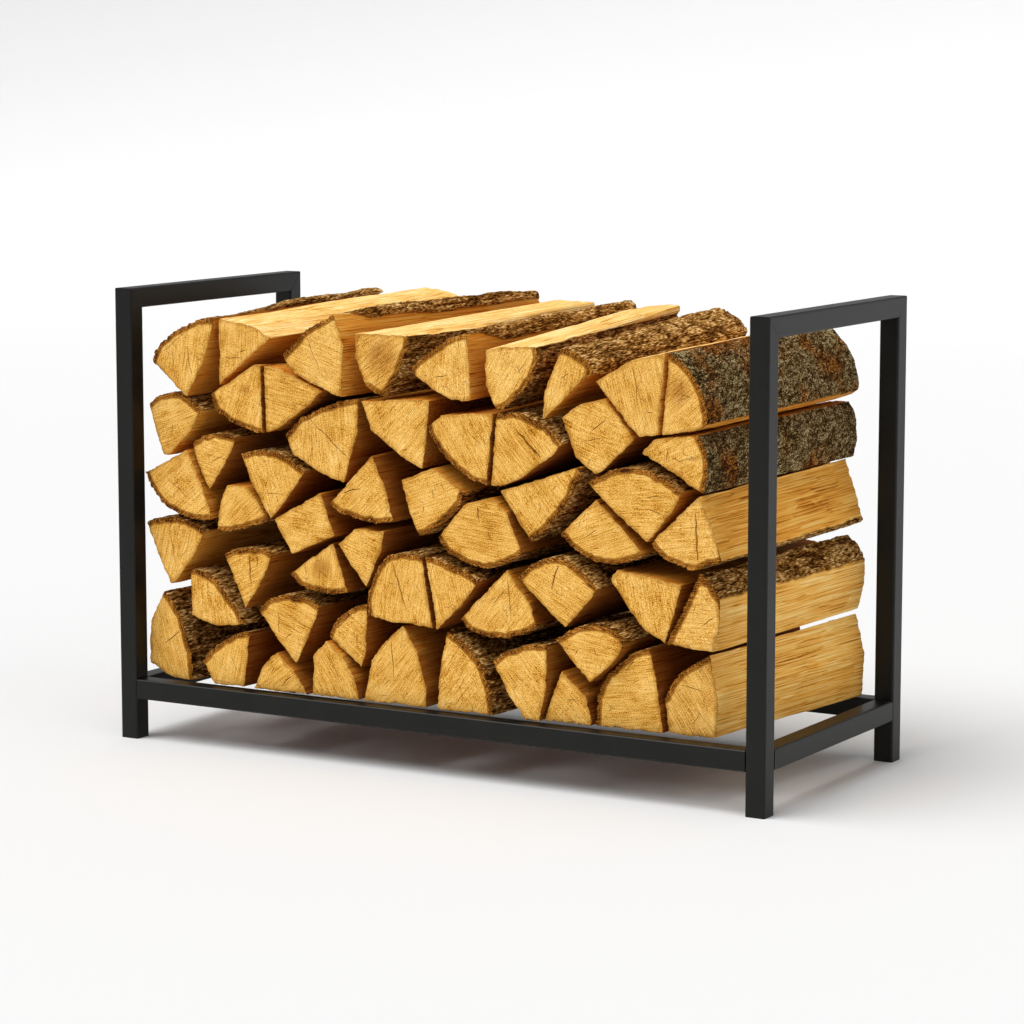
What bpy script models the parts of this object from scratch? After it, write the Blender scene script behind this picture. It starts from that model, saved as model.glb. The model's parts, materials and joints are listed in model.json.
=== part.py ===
"""Firewood log rack: a free-standing rack of square steel tube, filled with split logs.

Metres, +Z up. The origin is the middle of the footprint, on the floor. +X runs along the rack
and +Y from its front to its rear.
"""

import math

import bmesh
import bpy
from mathutils import Vector
from mathutils.geometry import convex_hull_2d

MM = 0.001

# The rack
LENGTH = 0.900
DEPTH = 0.375
HEIGHT = 0.566
TUBE = 0.025  # side of the square tube
WALL = 0.0015
CORNER_RADIUS = 0.0025  # outer corners of the tube
CORNER_STEPS = 3
RAIL_TOP = 0.076  # what the lowest logs rest on, above the floor
FOOT_CAP = 0.003  # plate that closes the bottom of each leg
FIT = 0.0003  # gap in every butt joint and mitre

# The logs
FRONT_SETBACK = 0.018  # front ends of the logs behind the front of the rack
REAR_SETBACK = 0.006
LOG_GAP = 0.0008  # least gap between neighbours
Y_FRONT = -DEPTH / 2 + FRONT_SETBACK
LOG_LENGTH = DEPTH - FRONT_SETBACK - REAR_SETBACK
FILL = 1.10  # a log is this much larger than its plan until its neighbours trim it
SKEW = 0.075  # how far the logs run to +X on their way to the rear, per metre
REAR_GROWTH = 0.030  # how much taller the stack is at its rear, as a share
# Logs that lie askew: how far the rear end is off the stack's own skew, to +X, and how much
# taller it is than the front end, both in mm
ASKEW = {
    "top_log_01": (-12, -6),
    "top_log_02": (55, 8),
    "top_log_03": (52, -8),
    "top_log_04": (54, 8),
    "top_log_05": (14, 0),
    "top_log_06": (-26, 12),
    "top_log_07": (0, 12),
}
BARK_ARC = 75.0  # a face turned less than this from the bark side, in degrees, carries bark
BARK_BULGE = 0.07  # how far a bark face bulges, as a share of its width
FLAT = math.radians(0.02)  # faces that meet at less than this are one face

# The stack, seen from the front. Each log is (bark side in degrees or None, how far its front
# end is pulled back in mm, corners in mm). 0 degrees faces +X and 90 faces up. Corners are
# measured from the left end frame's inner face and the rail's top, in a bay of this size.
BAY_WIDTH = 850
BAY_HEIGHT = 490
STACK = {
    "top": (
        (135, 0, ((20, 400), (30, 420), (70, 445), (112, 455), (95, 405), (70, 360))),
        (None, 3, ((118, 455), (160, 450), (190, 435), (115, 375), (114, 430))),
        (125, 0, ((215, 415), (285, 465), (300, 430), (295, 370), (260, 380), (230, 395))),
        (300, 4, ((315, 445), (390, 445), (380, 420), (355, 375), (330, 385), (315, 415))),
        (120, 2, ((395, 405), (425, 430), (470, 450), (475, 405), (475, 375), (450, 375), (425, 385))),
        (315, 0, ((500, 435), (540, 440), (568, 440), (560, 405), (530, 375), (515, 365), (500, 395))),
        (45, 5, ((595, 435), (615, 430), (635, 415), (605, 385), (572, 355), (575, 390))),
        (
            20,
            1,
            (
                (650, 405), (695, 430), (737, 440), (770, 415), (785, 380), (785, 365), (770, 355),
                (705, 345), (680, 375),
            ),
        ),
    ),
    "upper": (
        (80, 4, ((10, 345), (30, 357), (60, 357), (85, 340), (70, 315), (40, 285), (30, 285), (20, 310))),
        (
            270,
            0,
            (
                (110, 365), (170, 400), (205, 400), (265, 375), (230, 348), (190, 322), (155, 328),
                (120, 343),
            ),
        ),
        (110, 6, ((215, 320), (260, 350), (317, 365), (315, 330), (295, 267), (265, 275), (225, 295))),
        (None, 3, ((325, 365), (390, 370), (420, 370), (415, 330), (410, 290), (385, 300), (340, 330))),
        (
            260,
            0,
            (
                (425, 340), (445, 357), (505, 362), (545, 365), (570, 355), (595, 330), (565, 305),
                (520, 280), (505, 279), (465, 293), (435, 322),
            ),
        ),
        (None, 5, ((600, 360), (620, 375), (655, 385), (690, 340), (640, 295), (620, 310), (605, 345))),
        (0, 2, ((705, 325), (725, 345), (775, 350), (786, 330), (782, 285))),
    ),
    "middle": (
        (225, 0, ((8, 260), (70, 290), (90, 255), (105, 210), (70, 208), (30, 225))),
        (90, 5, ((75, 300), (105, 312), (140, 310), (120, 275), (95, 240), (80, 270))),
        (50, 2, ((150, 290), (200, 295), (240, 275), (215, 240), (190, 215), (165, 255))),
        (260, 4, ((125, 250), (155, 250), (185, 215), (150, 200), (110, 195), (113, 220))),
        (280, 0, ((340, 300), (355, 270), (370, 225), (320, 225), (280, 240))),
        (310, 4, ((380, 275), (420, 290), (465, 265), (450, 240), (405, 210), (392, 235))),
        (265, 1, ((435, 210), (470, 250), (505, 260), (525, 245), (545, 200), (500, 180), (455, 190))),
        (300, 3, ((520, 270), (625, 305), (615, 280), (590, 245), (560, 215), (540, 245))),
        (60, 0, ((635, 290), (690, 307), (715, 303), (755, 285), (740, 255), (715, 225), (675, 255))),
        (270, 4, ((600, 225), (645, 267), (675, 240), (705, 210), (665, 195), (630, 203))),
        (None, 0, ((720, 225), (780, 280), (795, 245), (807, 210), (770, 197), (735, 208))),
    ),
    "lower": (
        (90, 3, ((5, 195), (30, 202), (60, 202), (90, 190), (70, 155), (45, 125), (38, 125), (20, 160))),
        (90, 0, ((125, 165), (160, 175), (197, 170), (175, 130), (155, 102), (140, 135))),
        (45, 5, ((70, 140), (95, 137), (120, 115), (147, 80), (105, 75), (70, 85))),
        (None, 0, ((200, 215), (265, 250), (285, 200), (225, 175))),
        (265, 4, ((220, 150), (280, 190), (290, 160), (300, 132), (255, 130), (230, 138))),
        (None, 2, ((290, 190), (315, 210), (355, 210), (350, 185), (330, 142), (310, 165))),
        (
            80,
            0,
            (
                (335, 110), (340, 140), (365, 180), (405, 183), (445, 175), (485, 160), (460, 130),
                (430, 100), (380, 103),
            ),
        ),
        (260, 3, ((465, 115), (525, 175), (555, 140), (565, 115), (525, 97), (485, 100))),
        (80, 0, ((545, 170), (570, 190), (600, 197), (647, 165), (605, 118), (575, 145))),
        (None, 5, ((665, 175), (675, 187), (755, 177), (750, 160), (735, 110), (705, 125), (685, 150))),
        (30, 2, ((780, 190), (805, 165), (797, 105), (740, 110), (760, 145))),
    ),
    "bottom": (
        (20, 7, ((0, 20), (2, 65), (25, 107), (50, 75), (67, 0), (45, 0))),
        (135, 0, ((90, 30), (120, 55), (160, 70), (155, 30), (150, 0), (110, 0))),
        (80, 4, ((172, 100), (210, 120), (260, 110), (240, 65), (225, 40), (195, 70))),
        (None, 0, ((200, 50), (225, 30), (245, 0), (165, 0), (180, 30))),
        (135, 5, ((275, 75), (290, 100), (332, 120), (330, 70), (320, 42), (295, 60))),
        (None, 0, ((275, 70), (255, 50), (255, 0), (320, 0), (315, 25), (295, 55))),
        (None, 4, ((380, 95), (400, 65), (411, 25), (410, 0), (325, 0), (335, 50), (355, 75))),
        (20, 2, ((445, 95), (490, 60), (505, 0), (430, 0), (435, 50))),
        (90, 0, ((510, 65), (530, 80), (580, 90), (580, 40), (570, 0), (555, 0), (530, 30))),
        (None, 6, ((598, 62), (585, 30), (575, 0), (640, 0), (630, 35))),
        (85, 0, ((596, 100), (630, 120), (665, 120), (685, 105), (665, 75), (640, 56), (620, 75))),
        (160, 10, ((710, 97), (720, 65), (730, 0), (640, 0), (650, 50), (675, 80))),
        (None, 16, ((785, 95), (795, 50), (793, 0), (735, 0), (728, 40), (745, 70))),
    ),
}

X, Y, Z = range(3)
OBJECT_NAME = "firewood_log_rack"


def clear_scene():
    for obj in list(bpy.data.objects):
        bpy.data.objects.remove(obj, do_unlink=True)


def new_collection(name):
    collection = bpy.data.collections.new(name)
    bpy.context.scene.collection.children.link(collection)
    return collection


def new_material(name, color, roughness, metallic):
    material = bpy.data.materials.new(name)
    material.use_nodes = True
    shader = material.node_tree.nodes["Principled BSDF"]
    shader.inputs["Base Color"].default_value = (*color, 1.0)
    shader.inputs["Roughness"].default_value = roughness
    shader.inputs["Metallic"].default_value = metallic
    return material


def new_object(name, bm, collection, material=None):
    mesh = bpy.data.meshes.new(name)
    bm.to_mesh(mesh)
    bm.free()
    obj = bpy.data.objects.new(name, mesh)
    collection.objects.link(obj)
    if material:
        mesh.materials.append(material)
    return obj


# ---- The rack ----


def bar(name, low, high, axis, radius, collection, material=None):
    """A bar from corner low to corner high, with the four edges along axis rounded."""
    size = high - low
    bm = bmesh.new()
    bmesh.ops.create_cube(bm, size=1.0)
    bmesh.ops.scale(bm, vec=size, verts=bm.verts)
    if radius > 0:
        along = [
            edge
            for edge in bm.edges
            if abs(edge.verts[0].co[axis] - edge.verts[1].co[axis]) > size[axis] / 2
        ]
        bmesh.ops.bevel(
            bm, geom=along, offset=radius, segments=CORNER_STEPS, profile=0.5, affect="EDGES"
        )
    obj = new_object(name, bm, collection, material)
    obj.location = (low + high) / 2
    return obj


def cut(obj, cutter):
    cutter.hide_render = True
    cutter.display_type = "WIRE"
    modifier = obj.modifiers.new(cutter.name, "BOOLEAN")
    modifier.operation = "DIFFERENCE"
    modifier.object = cutter


def tube(name, low, high, axis, low_cap=0.0):
    """A square tube from corner low to corner high. It is open at its ends, unless low_cap gives
    the thickness of a plate that closes its lower end."""
    obj = bar(name, low, high, axis, CORNER_RADIUS, rack, powder_coat)
    wall = Vector((WALL, WALL, WALL))
    inner_low = low + wall
    inner_high = high - wall
    inner_low[axis] = low[axis] + (low_cap or -TUBE)
    inner_high[axis] = high[axis] + TUBE
    cut(obj, bar(f"{name}_bore", inner_low, inner_high, axis, CORNER_RADIUS - WALL, cutters))
    return obj


def mitre(obj, corner, toward):
    """Cuts obj along the 45 degree plane of a mitred corner. corner is on the corner's outer
    edge, and toward points away from the stock that stays."""
    normal = toward.normalized()
    side = 4 * TUBE
    bm = bmesh.new()
    bmesh.ops.create_cube(bm, size=side)
    cutter = new_object(f"{obj.name}_mitre_{len(obj.modifiers)}", bm, cutters)
    cutter.rotation_euler = normal.to_track_quat("Z", "X").to_euler()
    cutter.location = corner + normal * (side / 2 - FIT / 2)
    cut(obj, cutter)


def end_frame(side, x_low):
    """Two uprights and a top bar, mitred together, with a lower cross bar between the uprights."""
    x_high = x_low + TUBE
    front, rear = -DEPTH / 2, DEPTH / 2
    for place, y_low, outward in (("front", front, -1), ("rear", rear - TUBE, 1)):
        upright = tube(
            f"{side}_{place}_upright",
            Vector((x_low, y_low, 0)),
            Vector((x_high, y_low + TUBE, HEIGHT)),
            Z,
            low_cap=FOOT_CAP,
        )
        corner = Vector(((x_low + x_high) / 2, outward * rear, HEIGHT))
        mitre(upright, corner, Vector((0, -outward, 1)))
    top_bar = tube(
        f"{side}_top_bar", Vector((x_low, front, HEIGHT - TUBE)), Vector((x_high, rear, HEIGHT)), Y
    )
    for outward in (-1, 1):
        corner = Vector(((x_low + x_high) / 2, outward * rear, HEIGHT))
        mitre(top_bar, corner, Vector((0, outward, -1)))
    tube(
        f"{side}_lower_cross_bar",
        Vector((x_low, front + TUBE + FIT, RAIL_TOP - TUBE)),
        Vector((x_high, rear - TUBE - FIT, RAIL_TOP)),
        Y,
    )


def rail(name, y_low):
    """A long rail between the uprights of the two end frames."""
    reach = LENGTH / 2 - TUBE - FIT
    tube(
        name,
        Vector((-reach, y_low, RAIL_TOP - TUBE)),
        Vector((reach, y_low + TUBE, RAIL_TOP)),
        X,
    )


# ---- The logs ----


def bay_points(corners):
    """Corners of the plan, in metres from the bay's left face and the rail's top."""
    width = (LENGTH - 2 * TUBE) / BAY_WIDTH
    height = (HEIGHT - RAIL_TOP) / BAY_HEIGHT
    return [Vector((x * width, z * height)) for x, z in corners]


def convex(points):
    """The points' convex outline, anticlockwise."""
    outline = [points[i] for i in convex_hull_2d(points)]
    area = sum(a.cross(b) for a, b in zip(outline, outline[1:] + outline[:1]))
    return outline if area > 0 else outline[::-1]


def edges_of(outline):
    return zip(outline, outline[1:] + outline[:1])


def outward_normal(start, end):
    return Vector((end.y - start.y, start.x - end.x)).normalized()


def grown(outline):
    middle = sum(outline, Vector((0, 0))) / len(outline)
    return [middle + (point - middle) * FILL for point in outline]


def bulged(outline, bark_side):
    """The outline with each face on the bark side bent outwards."""
    if bark_side is None:
        return outline
    bark = Vector((math.cos(math.radians(bark_side)), math.sin(math.radians(bark_side))))
    points = []
    for start, end in edges_of(outline):
        points.append(start)
        normal = outward_normal(start, end)
        if normal.angle(bark) < math.radians(BARK_ARC):
            points.append((start + end) / 2 + normal * BARK_BULGE * (end - start).length)
    return convex(points)


def clipped(outline, normal, limit):
    """The part of an outline that lies at or under limit along normal."""
    kept = []
    for start, end in edges_of(outline):
        over_start = start.dot(normal) - limit
        over_end = end.dot(normal) - limit
        if over_start <= 0:
            kept.append(start)
        if (over_start < 0) != (over_end < 0) and over_start != over_end:
            kept.append(start.lerp(end, over_start / (over_start - over_end)))
    return kept


def facing(first, second):
    """Directions from the first outline to the second, along the normals of both."""
    return [
        sign * outward_normal(start, end)
        for sign, outline in ((1, first), (-1, second))
        for start, end in edges_of(outline)
        if (end - start).length > MM
    ]


def parted(first, second, direction):
    """How far the second outline lies beyond the first along a direction."""
    return min(p.dot(direction) for p in second) - max(p.dot(direction) for p in first)


def best_parting(first, second, directions):
    """The direction that parts two logs best: at their fronts, or at the worse of their ends if
    their fronts lie clear of each other anyway."""
    clear = [d for d in directions if parted(first[0], second[0], d) >= LOG_GAP]
    if not clear:
        return max(directions, key=lambda d: parted(first[0], second[0], d))
    return max(clear, key=lambda d: min(parted(a, b, d) for a, b in zip(first, second)))


def bed(first, second, directions, yielding):
    """Trims two logs, each a front and a rear outline, that lie closer than LOG_GAP. Both ends
    are trimmed along one direction, so that the logs are clear of each other all the way. The
    logs share the loss, but at the rear the second one bears all of it if it is yielding."""
    best = best_parting(first, second, directions)
    for end, share in enumerate((0.5, 0.0 if yielding else 0.5)):
        gap = parted(first[end], second[end], best)
        if gap < LOG_GAP:
            limit = max(p.dot(best) for p in first[end]) + share * (gap - LOG_GAP)
            first[end] = clipped(first[end], best, limit)
            second[end] = clipped(second[end], -best, -limit - LOG_GAP)


def cleaned(outline):
    """The outline without points closer than a millimetre to the one before."""
    before = outline[-1:] + outline[:-1]
    return [point for point, last in zip(outline, before) if (point - last).length > MM]


def rear_end(name, front):
    """The rear outline of a log: its front one, further along X and taller."""
    along, taller = ASKEW.get(name, (0, 0))
    along = along * MM + SKEW * LOG_LENGTH
    foot = min(p.y for p in front)
    stretch = 1 + taller * MM / (max(p.y for p in front) - foot)
    heights = [foot + (p.y - foot) * stretch for p in front]
    return [Vector((p.x + along, FIT + (z - FIT) * (1 + REAR_GROWTH))) for p, z in zip(front, heights)]


def bedded_stack():
    """{name: (front outline, rear outline, pull)} for every log, each clear of the others, of the
    rails and of the left end frame."""
    ends, pulls = {}, {}
    for course, logs in STACK.items():
        for number, (bark_side, pull, corners) in enumerate(logs, 1):
            name = f"{course}_log_{number:02d}"
            front = bulged(grown(convex(bay_points(corners))), bark_side)
            ends[name] = [front, rear_end(name, front)]
            pulls[name] = pull * MM
    names = list(ends)
    for i, first in enumerate(names):
        for second in names[i + 1 :]:
            directions = facing(ends[first][0], ends[second][0])
            if first.startswith("top") and second.startswith("top"):
                # Upright faces, so that each top log lifts straight off.
                directions = [Vector((1, 0)), Vector((-1, 0))]
            yielding = first in ASKEW and second not in ASKEW and not second.startswith("top")
            bed(ends[first], ends[second], directions, yielding)
    for name in names:
        for end in (0, 1):
            outline = clipped(ends[name][end], Vector((0, -1)), -FIT)
            ends[name][end] = cleaned(clipped(outline, Vector((-1, 0)), -LOG_GAP))
    return {name: (*ends[name], pulls[name]) for name in names}


def log(name, front, rear, pull):
    """A split log: the body between its front and its rear outline, sawn off at both ends."""
    bm = bmesh.new()
    for y, outline in ((Y_FRONT, front), (Y_FRONT + LOG_LENGTH, rear)):
        for point in outline:
            bm.verts.new((-LENGTH / 2 + TUBE + point.x, y, RAIL_TOP + point.y))
    hull = bmesh.ops.convex_hull(bm, input=bm.verts)
    loose = {v for v in hull["geom_unused"] + hull["geom_interior"] if isinstance(v, bmesh.types.BMVert)}
    bmesh.ops.delete(bm, geom=list(loose), context="VERTS")
    bmesh.ops.dissolve_limit(bm, angle_limit=FLAT, verts=bm.verts, edges=bm.edges)
    for y, outward in ((Y_FRONT + pull, -1), (Y_FRONT + LOG_LENGTH - pull / 2, 1)):
        if pull > 0:
            whole_log = bm.verts[:] + bm.edges[:] + bm.faces[:]
            cut = bmesh.ops.bisect_plane(
                bm, geom=whole_log, plane_co=(0, y, 0), plane_no=(0, outward, 0), clear_outer=True
            )
            rim = [item for item in cut["geom_cut"] if isinstance(item, bmesh.types.BMEdge)]
            bmesh.ops.contextual_create(bm, geom=rim)
    bmesh.ops.remove_doubles(bm, verts=bm.verts, dist=FIT)
    bmesh.ops.recalc_face_normals(bm, faces=bm.faces)
    new_object(name, bm, logs, split_wood)


clear_scene()
whole = new_collection(OBJECT_NAME)
rack = bpy.data.collections.new("rack")
logs = bpy.data.collections.new("logs")
whole.children.link(rack)
whole.children.link(logs)
cutters = new_collection("cutters")
powder_coat = new_material("satin_black_powder_coat", (0.022, 0.022, 0.021), 0.45, 0.0)
split_wood = new_material("split_firewood", (0.58, 0.34, 0.11), 0.8, 0.0)

end_frame("left", -LENGTH / 2)
end_frame("right", LENGTH / 2 - TUBE)
rail("front_rail", -DEPTH / 2)
rail("rear_rail", DEPTH / 2 - TUBE)
for log_name, (front_end, rear_outline, log_pull) in bedded_stack().items():
    log(log_name, front_end, rear_outline, log_pull)
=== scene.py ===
"""Looks of the firewood log rack: split logs with bark, sawn ends and long grain, in a rack of
powder-coated square tube. Metres, in the frame of the CAD model."""

import itertools
import json
import math

import bpy
import numpy as np
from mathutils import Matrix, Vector
from mathutils.geometry import delaunay_2d_cdt

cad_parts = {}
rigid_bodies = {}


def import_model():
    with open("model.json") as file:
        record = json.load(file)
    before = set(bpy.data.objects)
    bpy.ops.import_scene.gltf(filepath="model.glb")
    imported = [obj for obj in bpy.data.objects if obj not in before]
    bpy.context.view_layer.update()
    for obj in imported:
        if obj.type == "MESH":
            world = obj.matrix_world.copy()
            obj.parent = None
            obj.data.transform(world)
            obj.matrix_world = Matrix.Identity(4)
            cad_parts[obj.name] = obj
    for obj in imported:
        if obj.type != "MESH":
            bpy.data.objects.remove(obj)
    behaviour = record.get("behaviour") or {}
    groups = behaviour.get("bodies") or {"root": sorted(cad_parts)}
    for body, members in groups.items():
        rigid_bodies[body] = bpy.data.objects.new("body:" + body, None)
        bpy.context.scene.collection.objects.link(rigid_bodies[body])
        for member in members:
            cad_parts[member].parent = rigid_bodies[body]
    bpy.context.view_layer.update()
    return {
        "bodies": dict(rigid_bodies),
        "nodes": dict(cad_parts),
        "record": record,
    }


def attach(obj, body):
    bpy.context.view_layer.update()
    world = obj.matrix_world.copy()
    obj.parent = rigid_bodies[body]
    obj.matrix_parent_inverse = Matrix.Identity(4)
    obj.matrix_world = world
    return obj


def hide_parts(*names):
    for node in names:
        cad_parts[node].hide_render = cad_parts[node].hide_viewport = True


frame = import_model()

MM = 0.001

# ---- The camera ----

CAMERA_PLACE = (2.070, -3.502, 0.859)
CAMERA_AZIMUTH = 30.46  # degrees round the rack, towards +X
CAMERA_ELEVATION = 7.89
CAMERA_LENS = 117.56


def make_camera():
    camera = bpy.data.objects.new("camera", bpy.data.cameras.new("camera"))
    camera.data.lens = CAMERA_LENS
    camera.location = CAMERA_PLACE
    camera.rotation_euler = (math.radians(90 - CAMERA_ELEVATION), 0, math.radians(CAMERA_AZIMUTH))
    bpy.context.scene.collection.objects.link(camera)
    bpy.context.scene.camera = camera


# ---- Colours and nodes ----


def linear(code):
    """An sRGB hex colour as linear red, green, blue and alpha."""
    shares = [int(code[i : i + 2], 16) / 255 for i in (1, 3, 5)]
    return [s / 12.92 if s <= 0.04045 else ((s + 0.055) / 1.055) ** 2.4 for s in shares] + [1.0]


def add(tree, kind, inputs=None, stops=None, **settings):
    """Adds a node. settings are its properties, inputs its sockets by name or number, each a
    value or the socket that feeds it, and stops the places and colours of its ramp."""
    node = tree.nodes.new(kind)
    for name, value in settings.items():
        setattr(node, name, value)
    for name, value in (inputs or {}).items():
        if isinstance(value, bpy.types.NodeSocket):
            tree.links.new(value, node.inputs[name])
        else:
            node.inputs[name].default_value = value
    if stops:
        ramp = node.color_ramp.elements
        while len(ramp) < len(stops):
            ramp.new(1.0)
        for element, (place, code) in zip(ramp, stops):
            element.position = place
            element.color = linear(code)
    return node


def new_material(name, color, roughness, bump, specular=0.5, coat=0.0):
    """A Principled material. color and bump take the tree and return the sockets of the colour
    and of the height, which bump follows with a strength and a depth in metres."""
    material = bpy.data.materials.new(name)
    material.use_nodes = True
    tree = material.node_tree
    shader = tree.nodes["Principled BSDF"]
    shader.inputs["Roughness"].default_value = roughness
    shader.inputs["Specular IOR Level"].default_value = specular
    shader.inputs["Coat Weight"].default_value = coat
    tree.links.new(color(tree), shader.inputs["Base Color"])
    height, strength, depth = bump(tree)
    normal = add(tree, "ShaderNodeBump", {"Height": height, "Strength": strength, "Distance": depth})
    tree.links.new(normal.outputs["Normal"], shader.inputs["Normal"])
    return material


# ---- Repeatable noise for the meshes ----


def hashed(cells, seed):
    """A number from 0 to 1 for each row of whole numbers."""
    value = np.full(len(cells), seed * 7919 + 17, np.uint32)
    for column, prime in zip(cells.T.astype(np.uint32), (374761393, 668265263, 2246822519)):
        value = (value ^ (column * np.uint32(prime))) * np.uint32(3266489917)
        value ^= value >> np.uint32(15)
    value = value * np.uint32(2654435761)
    value ^= value >> np.uint32(13)
    return value.astype(np.float64) / 2**32


def noise(*axes, seed=0):
    """Smooth noise from -1 to 1, with a feature about one unit wide. Takes two or three arrays."""
    shape = np.broadcast(*axes).shape
    points = np.stack([np.broadcast_to(axis, shape).ravel() for axis in axes], axis=1)
    base = np.floor(points).astype(np.int64)
    share = points - base
    share = share * share * (3 - 2 * share)
    total = np.zeros(len(points))
    for corner in itertools.product((0, 1), repeat=len(axes)):
        weight = np.prod(np.where(corner, share, 1 - share), axis=1)
        total += weight * hashed(base + corner, seed)
    return (2 * total - 1).reshape(shape)


def smooth_step(value, low, high):
    share = np.clip((value - low) / (high - low), 0, 1)
    return share * share * (3 - 2 * share)


def blurred(values, width):
    """Values round a closed loop, blurred over width places."""
    reach = int(math.ceil(3 * width))
    total, weights = 0, 0
    for step in range(-reach, reach + 1):
        weight = math.exp(-0.5 * (step / width) ** 2)
        total = total + weight * np.roll(values, step, axis=0)
        weights += weight
    return total / weights


# ---- What each log is like ----

# The side of each log that carries bark, counted from the left in each course: None where no
# side does, or degrees seen from the front, 0 to +X and 90 up. A pair that lies split apart
# has one for each half.
BARK_SIDE = {
    "top": (135, None, 125, 300, 120, 315, 45, (None, 20)),
    "upper": (80, (250, None), 110, None, (225, 45), None, 0),
    "middle": (225, 90, 50, 260, 280, 310, 265, 300, 60, 270, 255),
    "lower": (90, 90, 45, None, 265, None, (110, 60), 260, 80, None, 95),
    "bottom": (20, 135, 80, None, 135, None, None, 20, 90, None, 85, 160, 105),
}
# Where a pair is split apart: shares of the CAD log's width, at its top and at its bottom.
PARTED = {
    "top_log_08": (0.64, 0.58),
    "upper_log_02": (0.47, 0.49),
    "upper_log_05": (0.50, 0.46),
    "lower_log_07": (0.50, 0.60),
}
PARTING = 1.6 * MM
# Bark that laps over the edge on the log's right-hand side: how far, how proud it stands as a
# slab, both in mm, and the shares of the log's length between which it rises to that.
SLABS = {
    "top_log_01": (4, 8, 0.15, 0.65),
    "top_log_03": (15, 6, 0.0, 0.22),
    "top_log_05": (14, 6, 0.0, 0.22),
    "top_log_07": (9, 4.5, -0.5, 0.0),
}
LICHEN = ("top_log_08_right", "upper_log_07")
# How much wider or narrower a log is at its rear than the CAD's, in mm.
WIDER_BEHIND = {"middle_log_11": -12, "lower_log_11": -5, "bottom_log_13": 10}
# Logs whose long sides show get a finer mesh.
SHOWING = ("top", "bottom", "upper_log_07", "middle_log_11", "lower_log_11")
SHOWING += ("upper_log_01", "middle_log_01", "lower_log_01")
# Logs with an open side or top get loose scales and splinters too.
STREWN = ("top", "upper_log_01", "middle_log_01", "lower_log_01", "bottom_log_01")
STREWN += ("upper_log_07", "middle_log_11", "lower_log_11", "bottom_log_13")
# Painted shade on each log's split faces, from 0 to 1: those that face up, and the rest. Faces that
# face up are painted paler, as if lit from above, and the rest darker, as if in shade.
PAINTED_SHADE = {
    "top": (0.0, 0.5),
    "middle_log_11": (0.2, 0.28),
    "lower_log_11": (0.2, 0.26),
    "bottom_log_13": (0.2, 0.24),
    "upper_log_01": (0.4, 0.55),
    "middle_log_01": (0.4, 0.55),
    "lower_log_01": (0.4, 0.55),
    "bottom_log_01": (0.4, 0.55),
}
PAINTED_SHADE_INSIDE = (0.6, 0.88)  # logs that are not listed, down in the stack, painted darker for the shade between them
BARK_ARC = 75.0  # degrees either side of the bark side
# Drying cracks in the sawn ends, as shares of the face's width and height, from the heart out,
# and their width in mm.
CRACKS = {
    "top_log_01": (((0.56, 0.65), (0.64, 0.26), 0.9), ((0.15, 0.52), (0.54, 0.80), 0.6)),
    "top_log_02": (((0.04, 0.43), (0.58, 0.43), 0.7),),
    "top_log_03": (((0.40, 0.71), (0.61, 0.32), 0.9),),
    "top_log_08_left": (((0.55, 0.85), (0.62, 0.35), 0.8), ((0.50, 0.55), (0.78, 0.40), 0.6)),
    "upper_log_03": (((0.31, 0.75), (0.90, 0.26), 1.1), ((0.36, 0.60), (0.37, 0.30), 0.7)),
    "upper_log_05_left": (((0.55, 0.78), (0.86, 0.52), 0.6),),
    "upper_log_05_right": (((0.35, 0.78), (0.72, 0.40), 2.2),),
    "upper_log_06": (((0.40, 0.55), (0.62, 0.72), 0.8),),
    "middle_log_01": (((0.28, 0.62), (0.66, 0.30), 0.8),),
    "middle_log_02": (((0.35, 0.48), (0.78, 0.67), 0.6),),
    "middle_log_03": (((0.35, 0.39), (0.65, 0.40), 0.6),),
    "middle_log_05": (((0.05, 0.34), (0.52, 0.51), 1.0),),
    "middle_log_07": (((0.46, 0.95), (0.50, 0.62), 1.3), ((0.50, 0.62), (0.56, 0.50), 1.0)),
    "middle_log_11": (((0.62, 0.78), (0.66, 0.14), 1.8),),
    "lower_log_01": (((0.39, 0.85), (0.50, 0.31), 0.9),),
    "lower_log_02": (((0.50, 0.92), (0.53, 0.38), 1.6), ((0.66, 0.92), (0.64, 0.68), 1.0)),
    "lower_log_07_left": (((0.38, 0.90), (0.60, 0.20), 1.4),),
    "lower_log_08": (((0.60, 0.90), (0.66, 0.30), 1.0), ((0.60, 0.72), (0.42, 0.48), 0.8)),
    "lower_log_09": (((0.52, 0.92), (0.42, 0.55), 1.6),),
    "lower_log_11": (((0.63, 0.34), (0.96, 0.51), 0.8),),
    "bottom_log_01": (((0.33, 0.39), (0.80, 0.59), 1.0),),
    "bottom_log_03": (
        ((0.33, 0.77), (0.35, 0.41), 0.9),
        ((0.42, 0.72), (0.84, 0.52), 0.6),
        ((0.42, 0.58), (0.80, 0.41), 0.6),
    ),
    "bottom_log_04": (((0.50, 0.15), (0.76, 0.50), 0.9),),
    "bottom_log_05": (((0.14, 0.52), (0.64, 0.84), 0.8),),
    "bottom_log_06": (((0.35, 0.75), (0.60, 0.25), 0.8),),
    "bottom_log_07": (((0.44, 0.90), (0.49, 0.28), 1.0),),
    "bottom_log_13": (((0.30, 0.60), (0.75, 0.55), 0.8),),
}
# Stains where sap or rot has coloured a sawn end: its place, as a share of the face, and reach.
STAINS = {
    "top_log_04": ((0.50, 0.62), 42),
    "top_log_08_right": ((0.35, 0.55), 30),
    "upper_log_02_left": ((0.66, 0.62), 12),
    "lower_log_05": ((0.55, 0.45), 26),
}

# ---- The shape of a log ----

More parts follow.
